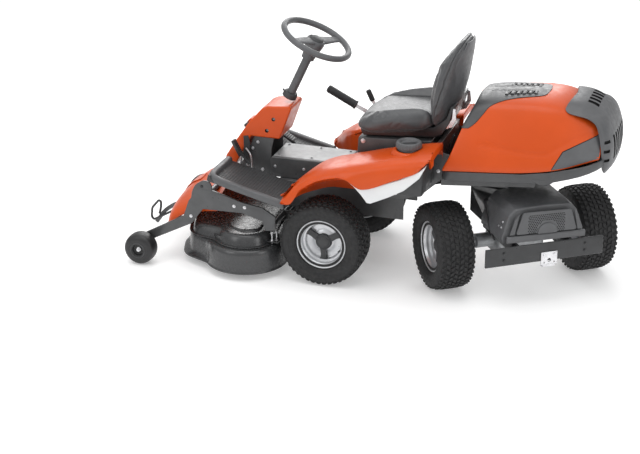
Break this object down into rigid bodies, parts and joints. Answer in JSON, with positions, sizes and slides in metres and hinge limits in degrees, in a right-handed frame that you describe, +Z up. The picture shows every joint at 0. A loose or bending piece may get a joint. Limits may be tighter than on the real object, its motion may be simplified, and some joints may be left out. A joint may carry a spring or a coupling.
{
  "type": "riding lawn mower",
  "caption": "Articulated rider mower with a front cutting deck, rear engine under a tipping hood, steered rear bogie, tipping seat and hand levers.",
  "frame": {"origin": "on the ground under the middle of the whole machine's box", "axes": "+X forward towards the cutting deck, +Y to the operator's left, +Z up; rest pose has the rear bogie at full left lock and the deck down"},
  "size_m": [2.3029, 0.9498, 1.157],
  "materials": {
    "orange_plastic": "smooth glossy moulded plastic",
    "white_plastic": "smooth moulded plastic",
    "charcoal_plastic": "fine grained moulded plastic",
    "grey_plastic": "fine grained moulded plastic",
    "black_painted_steel": "satin black powder coat",
    "zinc_steel": "bright zinc plate",
    "silver_rim_paint": "silver metallic paint",
    "cast_aluminium": "sand-cast, matt",
    "tyre_rubber": "matt black rubber",
    "seat_vinyl": "grained black vinyl",
    "soft_grip": "matt soft grip",
    "exhaust_steel": "heat-dulled steel"
  },
  "bodies": {
    "chassis": {"main_frame": "black_painted_steel", "front_axle": "black_painted_steel", "engine_frame": "black_painted_steel", "kingpin": "zinc_steel", "console_frame": "grey_plastic", "console_tower": "orange_plastic", "column_tube": "charcoal_plastic", "tunnel_cover": "grey_plastic", "footplate_left": "charcoal_plastic", "footplate_right": "charcoal_plastic", "fender_left": "orange_plastic", "fender_right": "orange_plastic", "side_panel_left": "white_plastic", "side_panel_right": "white_plastic", "fuel_tank": "charcoal_plastic", "seat_pedestal": "charcoal_plastic", "engine_tray": "grey_plastic", "engine_block": "cast_aluminium", "battery": "charcoal_plastic", "muffler": "exhaust_steel", "hood_strap": "soft_grip"},
    "steering_wheel": {"steering_wheel": "charcoal_plastic"},
    "fuel_cap": {"fuel_cap": "grey_plastic"},
    "seat": {"seat_pan": "charcoal_plastic", "seat_cushion": "seat_vinyl", "seat_back": "seat_vinyl", "seat_back_shell": "grey_plastic"},
    "hood": {"hood_shell": "orange_plastic", "hood_insert": "grey_plastic", "rear_grille": "charcoal_plastic"},
    "bogie": {"bogie_frame": "black_painted_steel", "transaxle": "cast_aluminium", "bogie_cover": "charcoal_plastic", "bumper": "black_painted_steel", "hitch_plate": "zinc_steel"},
    "rear_left_wheel": {"rear_left_tyre": "tyre_rubber", "rear_left_rim": "silver_rim_paint"},
    "rear_right_wheel": {"rear_right_tyre": "tyre_rubber", "rear_right_rim": "silver_rim_paint"},
    "front_left_wheel": {"front_left_tyre": "tyre_rubber", "front_left_rim": "silver_rim_paint"},
    "front_right_wheel": {"front_right_tyre": "tyre_rubber", "front_right_rim": "silver_rim_paint"},
    "deck": {"deck_frame": "black_painted_steel", "deck_shell": "black_painted_steel", "belt_cover": "black_painted_steel", "deck_front_cover": "orange_plastic", "lift_handle": "black_painted_steel"},
    "blade_left": {"blade_left": "zinc_steel"},
    "blade_centre": {"blade_centre": "zinc_steel"},
    "blade_right": {"blade_right": "zinc_steel"},
    "gauge_wheel_left": {"gauge_wheel_left": "charcoal_plastic"},
    "gauge_wheel_right": {"gauge_wheel_right": "charcoal_plastic"},
    "lift_lever": {"lift_lever": "zinc_steel"},
    "height_lever": {"height_lever": "zinc_steel"},
    "throttle_lever": {"throttle_lever": "zinc_steel"},
    "ignition_key": {"ignition_key": "charcoal_plastic"},
    "brake_pedal": {"brake_pedal": "soft_grip"},
    "forward_pedal": {"forward_pedal": "soft_grip"},
    "reverse_pedal": {"reverse_pedal": "soft_grip"}
  },
  "joints": [
    {"name": "bogie_steer", "type": "hinge", "parent": "chassis", "child": "bogie", "pos_m": [-0.6853, 0, 0.42], "axis": [0, 0, 1], "range_deg": [0, 108]},
    {"name": "steering_wheel_turn", "type": "hinge", "parent": "chassis", "child": "steering_wheel", "pos_m": [0.2937, 0, 1.071], "axis": [-0.4226, 0, 0.9063], "range_deg": [-440, 5]},
    {"name": "front_left_roll", "type": "hinge", "parent": "chassis", "child": "front_left_wheel", "pos_m": [0.1437, 0.323, 0.206], "axis": [0, 1, 0], "continuous": true},
    {"name": "front_right_roll", "type": "hinge", "parent": "chassis", "child": "front_right_wheel", "pos_m": [0.1437, -0.323, 0.206], "axis": [0, 1, 0], "continuous": true},
    {"name": "rear_left_roll", "type": "hinge", "parent": "bogie", "child": "rear_left_wheel", "pos_m": [-0.39567, 0.21043, 0.206], "axis": [0.809, 0.5878, 0], "continuous": true},
    {"name": "rear_right_roll", "type": "hinge", "parent": "bogie", "child": "rear_right_wheel", "pos_m": [-0.97493, -0.21043, 0.206], "axis": [0.809, 0.5878, 0], "continuous": true},
    {"name": "deck_lift", "type": "hinge", "parent": "chassis", "child": "deck", "pos_m": [0.2637, 0, 0.25], "axis": [0, -1, 0], "range_deg": [0, 6.5]},
    {"name": "lift_lever_swing", "type": "hinge", "parent": "chassis", "child": "lift_lever", "pos_m": [-0.0563, -0.25, 0.566], "axis": [0, -1, 0], "range_deg": [-0.5, 39.5]},
    {"name": "height_lever_swing", "type": "hinge", "parent": "chassis", "child": "height_lever", "pos_m": [0.0437, -0.3, 0.57], "axis": [0, -1, 0], "range_deg": [-20, 25]},
    {"name": "throttle_swing", "type": "hinge", "parent": "chassis", "child": "throttle_lever", "pos_m": [-0.2063, -0.34, 0.64], "axis": [0, -1, 0], "range_deg": [-22, 30]},
    {"name": "key_turn", "type": "hinge", "parent": "chassis", "child": "ignition_key", "pos_m": [-0.3013, -0.3, 0.69], "axis": [0, 0, 1], "range_deg": [-80, 0]},
    {"name": "fuel_cap_turn", "type": "hinge", "parent": "chassis", "child": "fuel_cap", "pos_m": [-0.2413, 0.29, 0.6915], "axis": [0, 0, 1], "range_deg": [0, 120]},
    {"name": "seat_tilt", "type": "hinge", "parent": "chassis", "child": "seat", "pos_m": [0.0137, 0, 0.69], "axis": [0, 1, 0], "range_deg": [0, 50]},
    {"name": "hood_open", "type": "hinge", "parent": "chassis", "child": "hood", "pos_m": [-1.1263, 0, 0.625], "axis": [0, -1, 0], "range_deg": [0, 80]},
    {"name": "blade_left_spin", "type": "hinge", "parent": "deck", "child": "blade_left", "pos_m": [0.5537, 0.28, 0.075], "axis": [0, 0, 1], "continuous": true},
    {"name": "blade_centre_spin", "type": "hinge", "parent": "deck", "child": "blade_centre", "pos_m": [0.7237, 0, 0.075], "axis": [0, 0, 1], "continuous": true},
    {"name": "blade_right_spin", "type": "hinge", "parent": "deck", "child": "blade_right", "pos_m": [0.5537, -0.28, 0.075], "axis": [0, 0, 1], "continuous": true},
    {"name": "gauge_left_roll", "type": "hinge", "parent": "deck", "child": "gauge_wheel_left", "pos_m": [1.0507, 0.406, 0.077], "axis": [0, 1, 0], "continuous": true},
    {"name": "gauge_right_roll", "type": "hinge", "parent": "deck", "child": "gauge_wheel_right", "pos_m": [1.0507, -0.406, 0.077], "axis": [0, 1, 0], "continuous": true},
    {"name": "brake_press", "type": "hinge", "parent": "chassis", "child": "brake_pedal", "pos_m": [0.5837, 0.15, 0.466], "axis": [0, 1, 0], "range_deg": [0, 15], "stiffness_Nm_per_rad": 8, "springref_deg": -8.59},
    {"name": "forward_press", "type": "hinge", "parent": "chassis", "child": "forward_pedal", "pos_m": [0.5487, -0.33, 0.456], "axis": [0, 1, 0], "range_deg": [0, 12], "stiffness_Nm_per_rad": 8, "springref_deg": -8.59},
    {"name": "reverse_press", "type": "hinge", "parent": "chassis", "child": "reverse_pedal", "pos_m": [0.4737, -0.24, 0.436], "axis": [0, 1, 0], "range_deg": [0, 12], "stiffness_Nm_per_rad": 8, "springref_deg": -8.59}
  ],
  "couplings": [
    {"joint": "steering_wheel_turn", "follows": "bogie_steer", "ratio": -4},
    {"joint": "lift_lever_swing", "follows": "deck_lift", "ratio": 6},
    {"joint": "blade_centre_spin", "follows": "blade_left_spin", "ratio": 1},
    {"joint": "blade_right_spin", "follows": "blade_left_spin", "ratio": 1}
  ]
}
